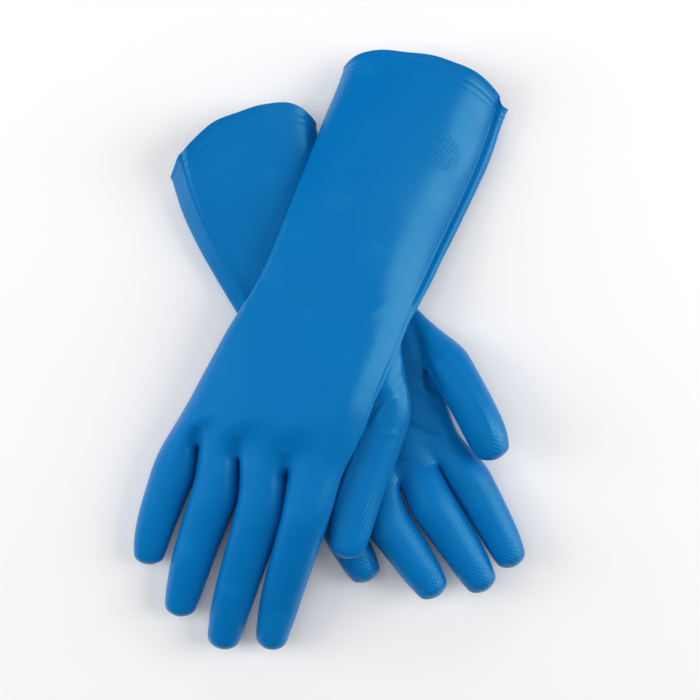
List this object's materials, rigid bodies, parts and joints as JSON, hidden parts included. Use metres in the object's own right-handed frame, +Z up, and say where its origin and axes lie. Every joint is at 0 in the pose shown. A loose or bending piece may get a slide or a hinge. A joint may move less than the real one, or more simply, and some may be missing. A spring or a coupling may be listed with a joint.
{
  "type": "rubber gloves",
  "caption": "Pair of long gauntlet gloves moulded in thin blue nitrile film, one lying palm down across the other, which lies palm up, with a grip pattern on the palm sides.",
  "frame": {"origin": "middle of the pair's plan outline, on the surface that the pair lies on", "axes": "+Z up from the surface, +Y towards the cuffs and -Y towards the fingertips, +X to the side that both index fingers are on"},
  "size_m": [0.2185, 0.3329, 0.044],
  "materials": {
    "left_glove_film": "satin moulded nitrile film, blue",
    "right_glove_film": "satin moulded nitrile film, blue"
  },
  "bodies": {
    "left_glove": {"left_glove": "left_glove_film"},
    "right_glove": {"right_glove": "right_glove_film"}
  },
  "joints": [
    {"name": "right_glove_lift", "type": "slide", "parent": "left_glove", "child": "right_glove", "axis": [0, 0, 1], "range_m": [0, 0.1]}
  ]
}
